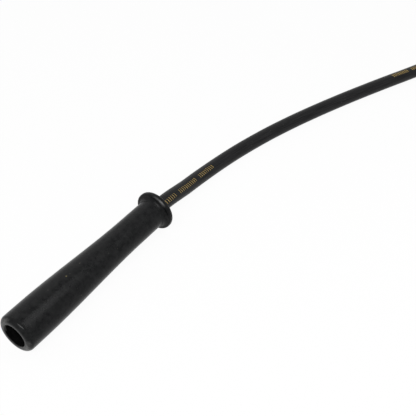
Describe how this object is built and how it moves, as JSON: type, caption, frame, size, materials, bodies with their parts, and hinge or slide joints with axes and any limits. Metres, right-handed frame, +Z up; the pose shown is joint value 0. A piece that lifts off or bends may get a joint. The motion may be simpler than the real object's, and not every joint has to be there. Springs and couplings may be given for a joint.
{
  "type": "spark plug wire",
  "caption": "Long straight rubber spark plug boot with its snap terminal, on a round ignition wire that runs to a tied hank and a short straight distributor boot.",
  "frame": {"origin": "on the surface that the wire lies on, below the middle of the plug boot", "axes": "+X along the plug boot from its mouth towards the wire, +Z up"},
  "size_m": [0.5816, 0.0776, 0.021],
  "materials": {
    "boot_rubber": "satin black moulded rubber",
    "wire_jacket": "satin black silicone jacket with a printed strip of gold dashes",
    "wire_core": "black conductive core",
    "terminal_steel": "plated sheet steel",
    "terminal_brass": "rolled sheet brass",
    "tie_nylon": "black nylon"
  },
  "bodies": {
    "root": {"plug_boot": "boot_rubber", "plug_terminal": "terminal_steel", "terminal_clip": "terminal_steel", "plug_conductor": "wire_core", "wire_plug_end": "wire_jacket", "wire_run": "wire_jacket", "wire_hank": "wire_jacket", "wire_tail": "wire_jacket", "hank_tie": "tie_nylon", "distributor_boot": "boot_rubber", "distributor_terminal": "terminal_brass", "distributor_conductor": "wire_core", "wire_distributor_end": "wire_jacket"}
  },
  "joints": []
}
